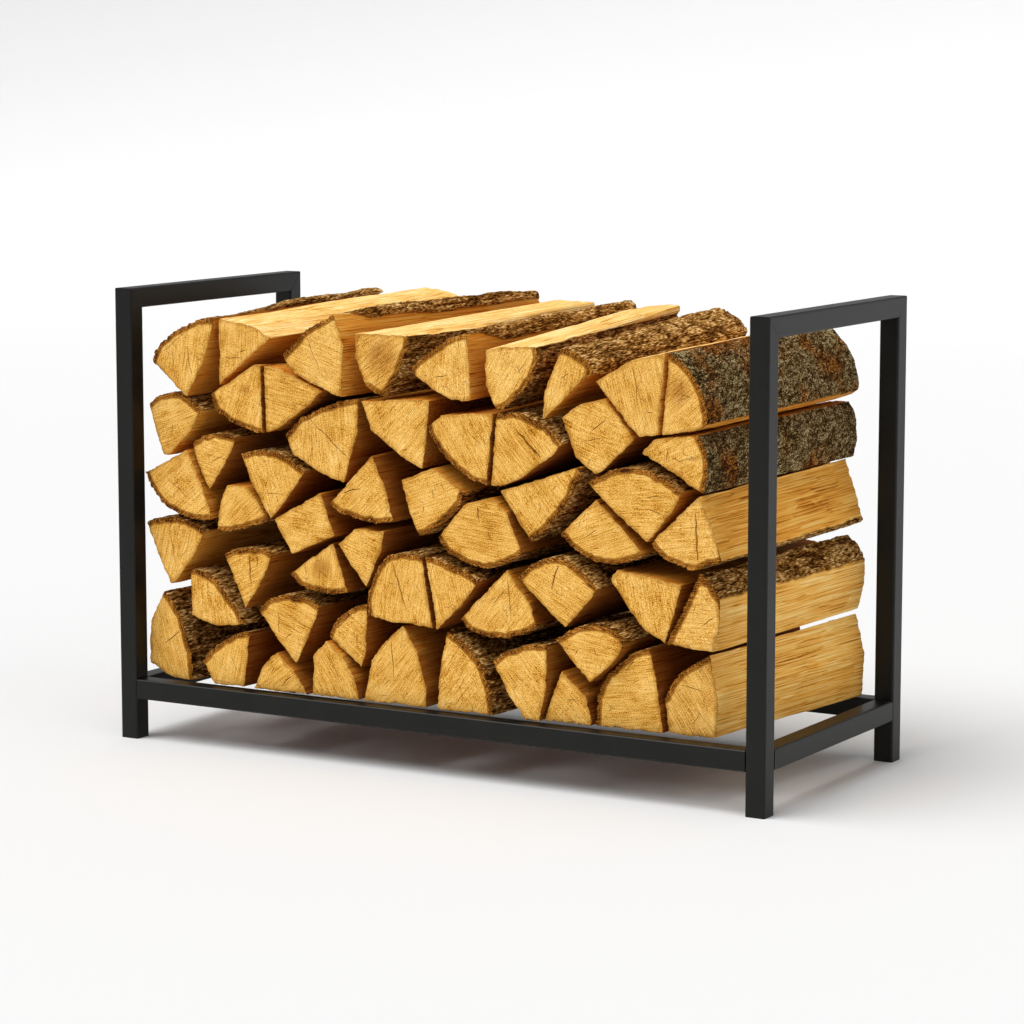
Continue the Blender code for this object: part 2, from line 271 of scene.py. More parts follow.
CORNER_SOFTNESS = 2.2 * MM  # how far a split log's corners are rounded over
FINE_STEP = (1.9 * MM, 3.4 * MM)  # mesh spacing round and along a log that shows
PLAIN_STEP = (2.6 * MM, 7.5 * MM)
FACE_STEP = 5 * MM  # mesh spacing over a sawn end
CRACK_CLEARANCE = 3.5 * MM  # cracks stay this far apart, so that they never cross
CRUMB_CLEARANCE = 9 * MM  # loose crumbs and splinters stay this far from the ends
BARK_EDGE = 1.6 * MM  # how softly bark gives way to wood along a log
EDGE_CLEARANCE = 6.5 * MM  # cracks and mesh points stay this far inside the face's edge
RIM_ROOM = 4 * MM  # of which the worn rim may take this much
LEAST_TURN = 1e-5  # radians round the face from one point of the rim to the next
SHARP = math.radians(48)  # edges that bend more than this are shaded sharp


def face_outline(node, rear):
    """The corners (x, z) of a CAD log's front or rear face, anticlockwise seen from the front,
    and the face's y."""
    corners = np.array([v.co for v in frame["nodes"][node].data.vertices], float)
    y = corners[:, 1].max() if rear else corners[:, 1].min()
    face = corners[np.abs(corners[:, 1] - y) < 0.1 * MM][:, [0, 2]]
    face = np.unique(face.round(6), axis=0)
    arms = face - face.mean(axis=0)
    return face[np.argsort(np.arctan2(arms[:, 1], arms[:, 0]))], y


def halves(outline, split):
    """The outline cut in two along the line of a split, left part first, with a gap between."""
    low, high = outline.min(axis=0), outline.max(axis=0)
    top = np.array([low[0] + split[0] * (high[0] - low[0]), high[1]])
    bottom = np.array([low[0] + split[1] * (high[0] - low[0]), low[1]])
    normal = np.array([top[1] - bottom[1], bottom[0] - top[0]])
    normal /= np.linalg.norm(normal)
    parts = []
    for way in (1, -1):
        limit = way * (bottom @ normal) - PARTING / 2
        kept = []
        for start, end in zip(outline, np.roll(outline, -1, axis=0)):
            over_start, over_end = way * (start @ normal) - limit, way * (end @ normal) - limit
            if over_start <= 0:
                kept.append(start)
            if (over_start < 0) != (over_end < 0):
                kept.append(start + (end - start) * over_start / (over_start - over_end))
        parts.append(np.array(kept))
    return parts


def outward(outline):
    """The outward normal of each edge of an anticlockwise outline."""
    along = np.roll(outline, -1, axis=0) - outline
    normal = np.stack([along[:, 1], -along[:, 0]], axis=1)
    return normal / np.maximum(np.linalg.norm(normal, axis=1), 1e-9)[:, None]


def spread(outline, step):
    """Points spread evenly round an outline, with the edge and the distance round of each."""
    lengths = np.linalg.norm(np.roll(outline, -1, axis=0) - outline, axis=1)
    ends = np.cumsum(lengths)
    count = int(ends[-1] / step)
    around = (np.arange(count) + 0.5) * ends[-1] / count
    edge = np.minimum(np.searchsorted(ends, around), len(outline) - 1)
    share = ((around - ends[edge] + lengths[edge]) / lengths[edge])[:, None]
    return outline[edge] + share * (np.roll(outline, -1, axis=0)[edge] - outline[edge]), edge, around


def centroid(outline):
    after = np.roll(outline, -1, axis=0)
    doubled = outline[:, 0] * after[:, 1] - after[:, 0] * outline[:, 1]
    return ((outline + after) * doubled[:, None]).sum(axis=0) / (3 * doubled.sum())


def partners(loop, outline, other):
    """The point of another outline that lies in the same direction from its middle as each
    point of a loop does from its own outline's middle."""
    arms = loop - centroid(outline)
    arms /= np.linalg.norm(arms, axis=1)[:, None]
    middle = centroid(other)
    normals = outward(other)
    room = ((other - middle) * normals).sum(axis=1)
    facing = arms @ normals.T
    reach = np.where(facing > 1e-6, room / np.maximum(facing, 1e-6), np.inf).min(axis=1)
    return middle + arms * reach[:, None]


def heart_of(outline, bark_side):
    """Where the tree's heart was: the corner away from the bark, or else the sharpest one."""
    if bark_side is not None:
        away = -np.array([math.cos(math.radians(bark_side)), math.sin(math.radians(bark_side))])
        return outline[np.argmax(outline @ away)]
    normals = outward(outline)
    return outline[np.argmin((normals * np.roll(normals, 1, axis=0)).sum(axis=1))]


def split_relief(around, y, seed):
    """How deep a split face lies under the log's outline: long torn fibres and shallow waves."""
    meander = around + 3 * MM * noise(y / (110 * MM), around / (50 * MM), seed=seed)
    fibres = 1 - np.abs(noise(meander / (5 * MM), y / (70 * MM), seed=seed + 1))
    strands = noise(meander / (2.4 * MM), y / (38 * MM), seed=seed + 2)
    waves = noise(around / (24 * MM), y / (110 * MM), seed=seed + 3)
    tears = smooth_step(noise(meander / (9 * MM), y / (60 * MM), seed=seed + 4), 0.15, 0.4)
    return (0.5 + 0.9 * fibres**3 + 0.25 * strands + 0.9 * (1 + waves) + 0.8 * tears) * MM


def bark_relief(around, y, seed, lichen):
    """Depth under the outline, and 0 in a furrow to 1 on a ridge. Old bark stands in long
    ridges between furrows; under lichen it is finer and shallower."""
    width, length, deepest = (4 * MM, 8 * MM, 0.7) if lichen else (4.4 * MM, 38 * MM, 1.9)
    meander = around + 4 * MM * noise(y / (30 * MM), around / (30 * MM), seed=seed)
    plates = np.abs(noise(meander / width, y / length, seed=seed + 1))
    cracks = np.abs(noise(meander / (0.6 * width), y / (0.45 * length), seed=seed + 2))
    ridge = smooth_step(plates, 0.02, 0.34) * (0.55 + 0.45 * smooth_step(cracks, 0.0, 0.30))
    crumbs = noise(meander / (2.4 * MM), y / (11 * MM), seed=seed + 3)
    swell = 1 + noise(around / (26 * MM), y / (55 * MM), seed=seed + 4)
    depth = (deepest * (1 - ridge) + 0.3 * crumbs + 0.3 + 0.8 * swell) * MM
    return depth, np.clip(ridge + 0.15 * crumbs, 0, 1)


def crack_lines(name, low, high, seed):
    """The cracks of a face as polylines with a half width at each point."""
    chosen = list(CRACKS.get(name, ()))
    draw = np.random.default_rng(seed)
    for _ in range(1 if chosen else 2):
        start = draw.uniform(0.3, 0.7, 2)
        angle = draw.uniform(0, 2 * math.pi)
        reach = draw.uniform(0.12, 0.3)
        end = start + reach * np.array([math.cos(angle), math.sin(angle)])
        chosen.append((start, end, draw.uniform(0.5, 0.8)))
    lines = []
    for start, end, width in chosen:
        start, end = (low + np.array(p) * (high - low) for p in (start, end))
        along = end - start
        length = np.linalg.norm(along)
        across = np.array([-along[1], along[0]]) / length
        count = max(5, int(length / (2.6 * MM)))
        share = np.linspace(0, 1, count)
        wander = 0.9 * MM * noise(share * length / (7 * MM), share * 0, seed=seed + len(lines))
        path = start + share[:, None] * along + wander[:, None] * across
        half = 0.7 * width * MM * np.sin(math.pi * np.clip(share, 0.06, 0.94)) ** 0.6
        lines.append((path, across, half))
    return lines


def nearest(points, targets):
    """The distance from each point to the nearest target."""
    if not len(targets):
        return np.full(len(points), 0.1)
    return np.linalg.norm(points[:, None] - targets[None], axis=2).min(axis=1)


def longest_run(values, kept):
    """The longest unbroken run of the values that are kept."""
    groups = itertools.groupby(range(len(values)), key=lambda i: kept[i])
    runs = [list(run) for keep, run in groups if keep]
    return values[max(runs, key=len)] if runs else values[:0]


def sawn_face(name, outline, rim, middle, seed):
    """Triangulates a sawn end inside its rim. Returns the points (x, z) after those of the rim,
    how far each is pushed in, and the triangles, anticlockwise seen from the front."""
    rim_arms = rim - middle
    rim_turn, rim_reach = np.arctan2(rim_arms[:, 1], rim_arms[:, 0]), np.linalg.norm(rim_arms, axis=1)
    normals = outward(outline)
    reach = (outline * normals).sum(axis=1)
    low, high = outline.min(axis=0), outline.max(axis=0)

    def clearance(points):
        """How far points lie inside the outline, or less where the rim comes close."""
        arms = points - middle
        room = np.interp(np.arctan2(arms[:, 1], arms[:, 0]), rim_turn, rim_reach, period=2 * math.pi)
        room = room - np.linalg.norm(arms, axis=1) + RIM_ROOM
        return np.minimum((reach - points @ normals.T).min(axis=1), room)

    points, pushed, edges = [], [], []
    for path, across, half in crack_lines(name, low, high, seed):
        clear = (clearance(path) > EDGE_CLEARANCE) & (nearest(path, np.array(points)) > CRACK_CLEARANCE)
        path, half = longest_run(path, clear), longest_run(half, clear)
        if len(path) < 4:
            continue
        first = len(rim) + len(points)
        count = len(path)
        sides = [path[1:-1] + way * half[1:-1, None] * across for way in (1, -1)]
        points.extend([*path, *sides[0], *sides[1]])
        deep = np.minimum(4.5 * half, 6 * MM)
        deep[[0, -1]] = 0
        pushed.extend([*deep, *np.zeros(2 * (count - 2))])
        edges.extend((first + i, first + i + 1) for i in range(count - 1))
        for side in (0, 1):
            begin = first + count + side * (count - 2)
            chain = [first, *range(begin, begin + count - 2), first + count - 1]
            edges.extend(zip(chain, chain[1:]))
    crack_points = np.array(points).reshape(-1, 2)
    grid = np.stack(
        np.meshgrid(*(np.arange(a, b, FACE_STEP) for a, b in zip(low, high))), axis=-1
    ).reshape(-1, 2)
    grid = grid + FACE_STEP * 0.3 * np.stack(
        [noise(grid[:, 0] * 977, grid[:, 1] * 977, seed=seed + k) for k in (5, 6)], axis=1
    )
    grid = grid[clearance(grid) > EDGE_CLEARANCE]
    if len(crack_points):
        gap = np.linalg.norm(grid[:, None] - crack_points[None], axis=2).min(axis=1)
        grid = grid[gap > 2 * MM]
    points.extend(grid)
    pushed.extend(np.zeros(len(grid)))
    inner = np.array(points).reshape(-1, 2)
    count = len(rim)
    edges.extend((i, (i + 1) % count) for i in range(count))
    everything = [Vector(p) for p in np.concatenate([rim, inner])]
    found = delaunay_2d_cdt(everything, edges, [], 1, 1e-7)
    # Where two edges cross, the triangulation adds a point.
    added = [i for i, ids in enumerate(found[3]) if not ids]
    origin = {i: ids[0] for i, ids in enumerate(found[3]) if ids}
    origin.update((i, len(everything) + k) for k, i in enumerate(added))
    if added:
        inner = np.concatenate([inner, [tuple(found[0][i]) for i in added]])
    pushed = np.concatenate([pushed, np.zeros(len(added))])
    return inner, pushed, [tuple(origin[i] for i in face) for face in found[2]]


def make_log(name, node, front, rear, y_front, y_rear, bark_side, number):
    """One log as a closed mesh: its long sides, its two sawn ends and the worn rim between,
    with what its materials need kept as attributes."""
    seed = 100 * number
    lichen = name in LICHEN
    showing = name.startswith(SHOWING)
    step, stride = FINE_STEP if showing else PLAIN_STEP
    front_loop, edge, around = spread(front, step)
    rear_loop = partners(front_loop, front, rear)
    bark_mask = np.zeros(len(front))
    if bark_side is not None:
        side = np.array([math.cos(math.radians(bark_side)), math.sin(math.radians(bark_side))])
        bark_mask = (outward(front) @ side > math.cos(math.radians(BARK_ARC))).astype(float)
    softness = CORNER_SOFTNESS / step
    front_loop, rear_loop = blurred(front_loop, softness), blurred(rear_loop, softness)
    mask = bark_mask[edge]
    bark_round = blurred(mask, BARK_EDGE / step)

    # The long sides: rings from front to rear.
    rings = int((y_rear - y_front) / stride)
    share = np.linspace(0, 1, rings)[:, None]
    rim_depth = (1.3 + 0.9 * noise(around / (7 * MM), around * 0, seed=seed + 10)) * MM
    toward_end = 1 - 2 * share
    y = y_front + share * (y_rear - y_front) + toward_end * rim_depth * (np.abs(toward_end) ** 8)
    loops = front_loop + share[:, :, None] * (rear_loop - front_loop)
    across = outward(np.roll(front_loop, 1, axis=0)) + outward(front_loop)
    across /= np.linalg.norm(across, axis=1)[:, None]
    lap, rise, begin, full = SLABS.get(name, (0, 0, 0, 1))
    growth = smooth_step(share, begin, full)
    past = np.where(mask > 0, 0.0, np.inf)
    for _ in range(int(1.5 * lap * MM / step)):
        past = np.minimum(past, np.roll(past, -1) + step)
    past = past * (1 + 0.2 * noise(y / (40 * MM), y * 0, seed=seed + 13))
    width = lap * MM * growth + 1e-6
    bark_round = np.maximum(bark_round, smooth_step(width - past, 0, 2 * BARK_EDGE))
    border = 0.3 * noise(y / (9 * MM), around / (12 * MM), seed=seed + 11)
    bark = np.clip(bark_round + border * (bark_round > 0.02) * (bark_round < 0.98), 0, 1)
    wood_depth = split_relief(around, y, seed)
    bark_depth, ridge = bark_relief(around, y, seed + 20, lichen)
    is_bark = smooth_step(bark, 0.35, 0.65)
    depth = wood_depth * (1 - is_bark) + bark_depth * is_bark
    proud = growth * (1 + 0.3 * noise(y / (60 * MM), y * 0, seed=seed + 12))
    proud = proud * np.sqrt(1 - np.clip(past / (width + BARK_EDGE), 0, 1) ** 2)
    depth = depth - rise * MM * proud * smooth_step(bark, 0.4, 0.75)
    sides = loops - across * depth[:, :, None]
    relief = ridge * is_bark + (1 - is_bark) * np.clip(1 - wood_depth / (3.6 * MM), 0, 1)

    # The sawn ends.
    ends, cracked, stained = [], [], []
    for ring, outline, y_face, way, k in ((0, front, y_front, 1, 30), (-1, rear, y_rear, -1, 50)):
        middle = sides[ring].mean(axis=0)
        arms = sides[ring] - middle
        chips = np.maximum(noise(around / (5 * MM), around * 0, seed=seed + k) - 0.45, 0) * 5
        inset = (0.7 + 0.25 * noise(around / (2.5 * MM), around * 0, seed=seed + k + 1) + chips) * MM
        # The rim never turns back on itself, so that its face can be triangulated.
        least = LEAST_TURN * np.arange(len(arms))
        turn = np.maximum.accumulate(np.unwrap(np.arctan2(arms[:, 1], arms[:, 0]))) + least
        turn = np.minimum(turn, turn[0] + 2 * math.pi - LEAST_TURN * len(arms) + least)
        reach = np.linalg.norm(arms, axis=1) - inset
        rim = middle + reach[:, None] * np.stack([np.cos(turn), np.sin(turn)], axis=1)
        inner, pushed, triangles = sawn_face(name, outline, rim, middle, seed + k + 2)
        face_points = np.concatenate([rim, inner])
        spot, reach = STAINS.get(name, ((0, 0), 0))
        spot = outline.min(axis=0) + np.array(spot) * np.ptp(outline, axis=0)
        off = np.linalg.norm(face_points - spot, axis=1)
        stained.append(1 - smooth_step(off, 0, reach * MM) if reach else 0 * off)
        cracked.append(np.concatenate([np.zeros(len(rim)), pushed > 0]))
        pushed = np.concatenate([np.full(len(rim), 0.3 * MM), pushed])
        wave = 0.35 * MM * (1 + noise(*(face_points.T / (22 * MM)), seed=seed + k + 3))
        ends.append((face_points, y_face + way * (pushed + wave), triangles, len(rim)))

    around_count = len(around)
    side_points = np.stack([sides[:, :, 0], y, sides[:, :, 1]], axis=-1).reshape(-1, 3)
    end_points = [np.stack([p[:, 0], y_face, p[:, 1]], axis=1) for p, y_face, _, _ in ends]
    points = np.concatenate([side_points, *end_points])
    first_end = len(side_points)
    second_end = first_end + len(end_points[0])

    row = np.arange(around_count)
    after = (row + 1) % around_count
    starts = [first_end, *(i * around_count for i in range(rings)), second_end]
    quads = np.concatenate(
        [np.stack([a + row, b + row, b + after, a + after], axis=1) for a, b in zip(starts, starts[1:])]
    )
    front_triangles = np.array(ends[0][2]) + first_end
    rear_triangles = np.array(ends[1][2])[:, ::-1] + second_end
    mesh = bpy.data.meshes.new(name)
    mesh.from_pydata(points, [], [*quads.tolist(), *front_triangles.tolist(), *rear_triangles.tolist()])

    # Materials by face: 0 split wood, 1 sawn end, 2 bark.
    slots = np.ones(len(mesh.polygons), np.int32)
    face_bark = (bark[:-1] + bark[1:]) / 2
    face_bark = (face_bark + np.roll(face_bark, -1, axis=1)) / 2
    slots[around_count : rings * around_count] = np.where(face_bark.ravel() > 0.5, 2, 0)
    mesh.materials.append(split_wood)
    mesh.materials.append(sawn_end)
    mesh.materials.append(lichen_bark if lichen else furrowed_bark)
    mesh.polygons.foreach_set("material_index", slots)

    # Attributes.
    heart_front, heart_rear = heart_of(front, bark_side), heart_of(rear, bark_side)
    along = ((points[:, 1] - y_front) / (y_rear - y_front))[:, None]
    heart = heart_front + along * (heart_rear - heart_front)
    from_heart = np.stack(
        [points[:, 0] - heart[:, 0], points[:, 1], points[:, 2] - heart[:, 1]], axis=1
    )
    draw = np.random.default_rng(seed + 1)
    turn = draw.uniform(0, math.pi)
    saw = np.stack(
        [
            points[:, 0] * math.cos(turn) + points[:, 2] * math.sin(turn) + number,
            points[:, 1],
            points[:, 2] * math.cos(turn) - points[:, 0] * math.sin(turn),
        ],
        axis=1,
    )
    # Painted light and shade: split faces that face up get a paler share and the rest a darker one, per
    # log from the painted shade table, with a small random difference per log. The sawn ends get half
    # the darker share.
    painted_shade = next((pair for key, pair in PAINTED_SHADE.items() if name.startswith(key)), PAINTED_SHADE_INSIDE)
    painted_shade_up, painted_shade_rest = (value + draw.uniform(-0.1, 0.1) for value in painted_shade)
    up = smooth_step(across[:, 1], 0.35, 0.75)
    tone = np.broadcast_to(painted_shade_rest + (painted_shade_up - painted_shade_rest) * up, bark.shape)
    under_bark, from_edge = [np.zeros(first_end)], [np.zeros(first_end)]
    for (face_points, _, _, count), ring in zip(ends, (0, -1)):
        barked = sides[ring][bark[ring] > 0.5]
        under_bark.append(nearest(face_points, barked))
        from_edge.append(nearest(face_points, face_points[:count]))
    bare = np.zeros(len(points) - first_end)
    away = np.abs(2 * share - 1) < 1 - 2 * CRUMB_CLEARANCE / (y_rear - y_front)
    away = np.broadcast_to(away, bark.shape).ravel()
    floats = {
        "tone": np.concatenate([tone.ravel(), np.full(len(points) - first_end, 0.5 * painted_shade_rest)]),
        "crack": np.concatenate([np.zeros(first_end), *cracked]),
        "stain": np.concatenate([np.zeros(first_end), *stained]),
        "lichen": np.concatenate([(bark > 0.75).ravel() * away * lichen, bare]),
        "furrow": np.concatenate([(bark > 0.75).ravel() * away * (not lichen), bare]),
        "split": np.concatenate([(bark < 0.1).ravel() * away, bare]),
        "relief": np.concatenate([relief.ravel(), np.ones(len(points) - first_end)]),
        "under_bark": np.concatenate(under_bark),
        "from_edge": np.concatenate(from_edge),
        "bark": np.concatenate([bark.ravel(), np.zeros(len(points) - first_end)]),
    }
    for key, values in floats.items():
        mesh.attributes.new(key, "FLOAT", "POINT").data.foreach_set("value", values.astype(np.float32))
    for key, values in (("from_heart", from_heart), ("saw", saw)):
        attribute = mesh.attributes.new(key, "FLOAT_VECTOR", "POINT")
        attribute.data.foreach_set("vector", values.astype(np.float32).ravel())

    mesh.shade_smooth()
    mesh.set_sharp_from_angle(angle=SHARP)
    pairs = np.zeros(2 * len(mesh.edges), np.int32)
    mesh.edges.foreach_get("vertices", pairs)
    pairs = pairs.reshape(-1, 2)
    sharp = np.zeros(len(mesh.edges), bool)
    mesh.attributes["sharp_edge"].data.foreach_get("value", sharp)
    for first in (first_end, second_end):
        sharp |= ((pairs >= first) & (pairs < first + around_count)).all(axis=1)
    mesh.attributes["sharp_edge"].data.foreach_set("value", sharp)
    log = bpy.data.objects.new(name, mesh)
    bpy.context.scene.collection.objects.link(log)
    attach(log, node_body[node])
    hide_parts(node)
    log["node"] = node
    return log


# ---- Materials of the logs ----

# Sawn ends
PORE = 1.5 * MM  # pores are finer in truth, but would not show
RING_WIDTH = 2.6 * MM  # one year's growth
RING_SWAY = 4 * MM  # how far a ring strays from round
SWAY_LENGTH = 18.2 * MM
SAW_MARK = 1.3 * MM  # the width of one stroke's mark
SAW_STROKE = 30 * MM  # and its length
SAW_NICK = 12 * MM  # the marks that can be felt are shorter
CLOUD = 26.3 * MM  # patches that took the weather differently
WORN = (2.5 * MM, 6.5 * MM)  # from the edge, handling has darkened all of it, and then none
BAST = (8.2 * MM, 9.7 * MM)  # the same for the bast, from the bark
CRUST = (6.4 * MM, 7.7 * MM)  # and for the bark itself
# Split sides
FIBRE = (1.2 * MM, 130 * MM)  # width and length
TORN_FIBRE = (1.3 * MM, 100 * MM)
BAND = (8 * MM, 220 * MM)  # a few years' growth, seen from the side
PATCH = 62.5 * MM
# Bark
GRIT = 1.5 * MM
SCALE_LENGTH = 9 * MM  # the grit of furrowed bark is drawn out
CRUST_LENGTH = 2.6 * MM  # that of lichen is nearly round
BARK_CLOUD = 22.2 * MM
BARK_PATCH = 58.8 * MM


def add_up(tree, parts):
    """The sum of some sockets, each times its weight."""
    total = 0.0
    for part, weight in parts:
        inputs = {0: part, 1: weight, 2: total}
        total = add(tree, "ShaderNodeMath", inputs, operation="MULTIPLY_ADD").outputs[0]
    return total


def drawn_noise(tree, place, width, length, **inputs):
    """Noise drawn out along the log, with features of a width and a length."""
    scale = (1 / width, 1 / length, 1 / width)
    drawn = add(tree, "ShaderNodeMapping", {"Vector": place, "Scale": scale}).outputs[0]
    return add(tree, "ShaderNodeTexNoise", {"Vector": drawn, "Scale": 1.0, **inputs}).outputs["Fac"]


def end_grain_color(tree):
    from_heart, saw = (
        add(tree, "ShaderNodeAttribute", attribute_name=name).outputs["Vector"]
        for name in ("from_heart", "saw")
    )
    tone, under_bark, from_edge, stain, crack = (
        add(tree, "ShaderNodeAttribute", attribute_name=name).outputs["Fac"]
        for name in ("tone", "under_bark", "from_edge", "stain", "crack")
    )
    # Growth rings round the heart.
    flat = add(tree, "ShaderNodeVectorMath", {0: from_heart, 1: (1, 0, 1)}, operation="MULTIPLY")
    radius = add(tree, "ShaderNodeVectorMath", {0: flat.outputs[0]}, operation="LENGTH")
    sway = add(
        tree, "ShaderNodeTexNoise", {"Vector": from_heart, "Scale": 1 / SWAY_LENGTH, "Detail": 2.0}
    )
    bent = add_up(tree, ((sway.outputs["Fac"], RING_SWAY), (radius.outputs["Value"], 1.0)))
    phase = add(tree, "ShaderNodeMath", {0: bent, 1: 2 * math.pi / RING_WIDTH}, operation="MULTIPLY")
    ring = add(tree, "ShaderNodeMath", {0: phase.outputs[0]}, operation="SINE").outputs[0]
    # Saw marks: fine streaks across the face, over the pores of the grain.
    stroke = (1 / SAW_MARK, 1.0, 1 / SAW_STROKE)
    stretched = add(tree, "ShaderNodeMapping", {"Vector": saw, "Scale": stroke}).outputs[0]
    streaks = add(tree, "ShaderNodeTexNoise", {"Vector": stretched, "Scale": 1.0, "Detail": 2.0})
    clouds = add(
        tree,
        "ShaderNodeTexNoise",
        {"Vector": saw, "Scale": 1 / CLOUD, "Detail": 4.0, "Roughness": 0.6},
    ).outputs["Fac"]
    pores = add(tree, "ShaderNodeTexNoise", {"Vector": saw, "Scale": 1 / PORE, "Detail": 1.0})
    grain = add_up(
        tree, ((streaks.outputs["Fac"], 1.0), (ring, 0.06), (clouds, 0.8), (pores.outputs["Fac"], 1.0))
    )
    place = add(
        tree, "ShaderNodeMapRange", {"Value": grain, "From Min": 0.98, "From Max": 1.93}
    ).outputs[0]
    wood = add(
        tree,
        "ShaderNodeValToRGB",
        {"Fac": place},
        stops=(
            (0.0, "#844606"),
            (0.2, "#C68A32"),
            (0.5, "#EBB75F"),
            (0.78, "#FDD07C"),
            (1.0, "#FFE29C"),
        ),
    ).outputs["Color"]
    # Stains, patchy as the clouds, and painted shade, which darkens the sawn ends of logs down in the
    # stack. A colour Mix takes its share at 0, the colour below at 6 and the one over it at 7.
    patchy = add(tree, "ShaderNodeMath", {0: stain, 1: clouds}, operation="MULTIPLY").outputs[0]
    patchy = add(
        tree,
        "ShaderNodeMapRange",
        {"Value": patchy, "From Min": 0.12, "From Max": 0.55, "To Max": 0.8},
    ).outputs[0]
    dark = add(
        tree,
        "ShaderNodeMix",
        {0: 1.0, 6: wood, 7: linear("#B08850")},
        data_type="RGBA",
        blend_type="MULTIPLY",
    ).outputs[2]
    wood = add(tree, "ShaderNodeMix", {0: patchy, 6: wood, 7: dark}, data_type="RGBA").outputs[2]
    painted_shade = add(
        tree,
        "ShaderNodeHueSaturation",
        {"Color": wood, "Hue": 0.498, "Saturation": 1.05, "Value": 0.95},
    ).outputs[0]
    # Fine checks that run out from the heart, here and there.
    split = add(tree, "ShaderNodeSeparateXYZ", {0: from_heart}).outputs
    angle = add(tree, "ShaderNodeMath", {0: split["Z"], 1: split["X"]}, operation="ARCTAN2")
    polar = add(tree, "ShaderNodeCombineXYZ", {"X": angle.outputs[0], "Y": bent, "Z": tone})
    polar = add(tree, "ShaderNodeMapping", {"Vector": polar.outputs[0], "Scale": (5.0, 16.0, 40.0)})
    checks = add(
        tree,
        "ShaderNodeTexVoronoi",
        {"Vector": polar.outputs[0], "Scale": 1.0},
        feature="DISTANCE_TO_EDGE",
    ).outputs["Distance"]
    thin = add(
        tree,
        "ShaderNodeMapRange",
        {"Value": checks, "From Min": 0.004, "From Max": 0.022, "To Min": 0.55, "To Max": 0.0},
    ).outputs[0]
    few = add(
        tree, "ShaderNodeMapRange", {"Value": clouds, "From Min": 0.50, "From Max": 0.62}
    ).outputs[0]
    thin = add(tree, "ShaderNodeMath", {0: thin, 1: few}, operation="MULTIPLY").outputs[0]
    deep = add(
        tree, "ShaderNodeMapRange", {"Value": crack, "From Min": 0.25, "From Max": 0.7}
    ).outputs[0]

    def beside(distance, fray, full, gone, most):
        """A border: most of it up to a distance of full, none past gone, frayed by the clouds."""
        frayed = add_up(tree, ((clouds, fray), (distance, 1.0)))
        inputs = {"Value": frayed, "From Min": full, "From Max": gone, "To Min": most, "To Max": 0.0}
        return add(tree, "ShaderNodeMapRange", inputs).outputs[0]

    bark = add(
        tree,
        "ShaderNodeValToRGB",
        {"Fac": place},
        stops=((0.2, "#3A1602"), (0.5, "#8A5312"), (0.8, "#CC8E3E")),
    ).outputs["Color"]
    # The first of these mixes lays on the painted shade.
    for share, over in (
        (tone, painted_shade),
        (thin, linear("#70380A")),
        (deep, linear("#4E2200")),
        (beside(from_edge, 6 * MM, *WORN, 0.6), linear("#9C6620")),
        (beside(under_bark, 5 * MM, *BAST, 1.0), linear("#9C6620")),
        (beside(under_bark, 5 * MM, *CRUST, 1.0), bark),
    ):
        wood = add(tree, "ShaderNodeMix", {0: share, 6: wood, 7: over}, data_type="RGBA").outputs[2]
    return wood


def end_grain_bump(tree):
    saw = add(tree, "ShaderNodeAttribute", attribute_name="saw").outputs["Vector"]
    nick = (1 / SAW_MARK, 1.0, 1 / SAW_NICK)
    stretched = add(tree, "ShaderNodeMapping", {"Vector": saw, "Scale": nick}).outputs[0]
    streaks = add(tree, "ShaderNodeTexNoise", {"Vector": stretched, "Scale": 1.0, "Detail": 3.0})
    pores = add(tree, "ShaderNodeTexNoise", {"Vector": saw, "Scale": 1 / PORE, "Detail": 1.0})
    both = add_up(tree, ((streaks.outputs["Fac"], 0.7), (pores.outputs["Fac"], 1.0)))
    return both, 0.6, 1.2 * MM


def long_grain_color(tree):
    from_heart = add(tree, "ShaderNodeAttribute", attribute_name="from_heart").outputs["Vector"]
    tone, relief, bark = (
        add(tree, "ShaderNodeAttribute", attribute_name=name).outputs["Fac"]
        for name in ("tone", "relief", "bark")
    )
    fibres = drawn_noise(tree, from_heart, *FIBRE, Detail=1.0)
    bands = drawn_noise(tree, from_heart, *BAND, Detail=2.0, Distortion=0.3)
    patches = add(tree, "ShaderNodeTexNoise", {"Vector": from_heart, "Scale": 1 / PATCH, "Detail": 3.0})
    # The relief darkens the hollows of the split and lightens its ridges: painted shade.
    grain = add_up(tree, ((bands, 0.5), (fibres, 1.7), (patches.outputs["Fac"], 0.45), (relief, 0.25)))
    place = add(tree, "ShaderNodeMapRange", {"Value": grain, "From Min": 0.98, "From Max": 1.82})
    wood = add(
        tree,
        "ShaderNodeValToRGB",
        {"Fac": place.outputs[0]},
        stops=(
            (0.0, "#8A500C"),
            (0.2, "#D2953A"),
            (0.5, "#F4BF69"),
            (0.78, "#FCD78C"),
            (1.0, "#FFEDBC"),
        ),
    ).outputs["Color"]
    # Painted light and shade: faces that face up stay pale, as if lit, while sides and logs down in the
    # stack are multiplied darker and more orange, as if in shade.
    painted_shade = add(
        tree,
        "ShaderNodeValToRGB",
        {"Fac": tone},
        stops=((0.0, "#FFFFFF"), (0.25, "#FFEBB4"), (0.5, "#DAAE66"), (0.9, "#8E6236")),
    ).outputs["Color"]
    wood = add(
        tree, "ShaderNodeMix", {0: 1.0, 6: wood, 7: painted_shade}, data_type="RGBA", blend_type="MULTIPLY"
    ).outputs[2]
    bast = add(
        tree,
        "ShaderNodeMapRange",
        {"Value": bark, "From Min": 0.03, "From Max": 0.45, "To Max": 0.85},
    ).outputs[0]
    wood = add(tree, "ShaderNodeMix", {0: bast, 6: wood, 7: linear("#86500F")}, data_type="RGBA")
    return wood.outputs[2]


def long_grain_bump(tree):
    from_heart = add(tree, "ShaderNodeAttribute", attribute_name="from_heart").outputs["Vector"]
    return drawn_noise(tree, from_heart, *TORN_FIBRE, Detail=2.0), 0.8, 1.5 * MM


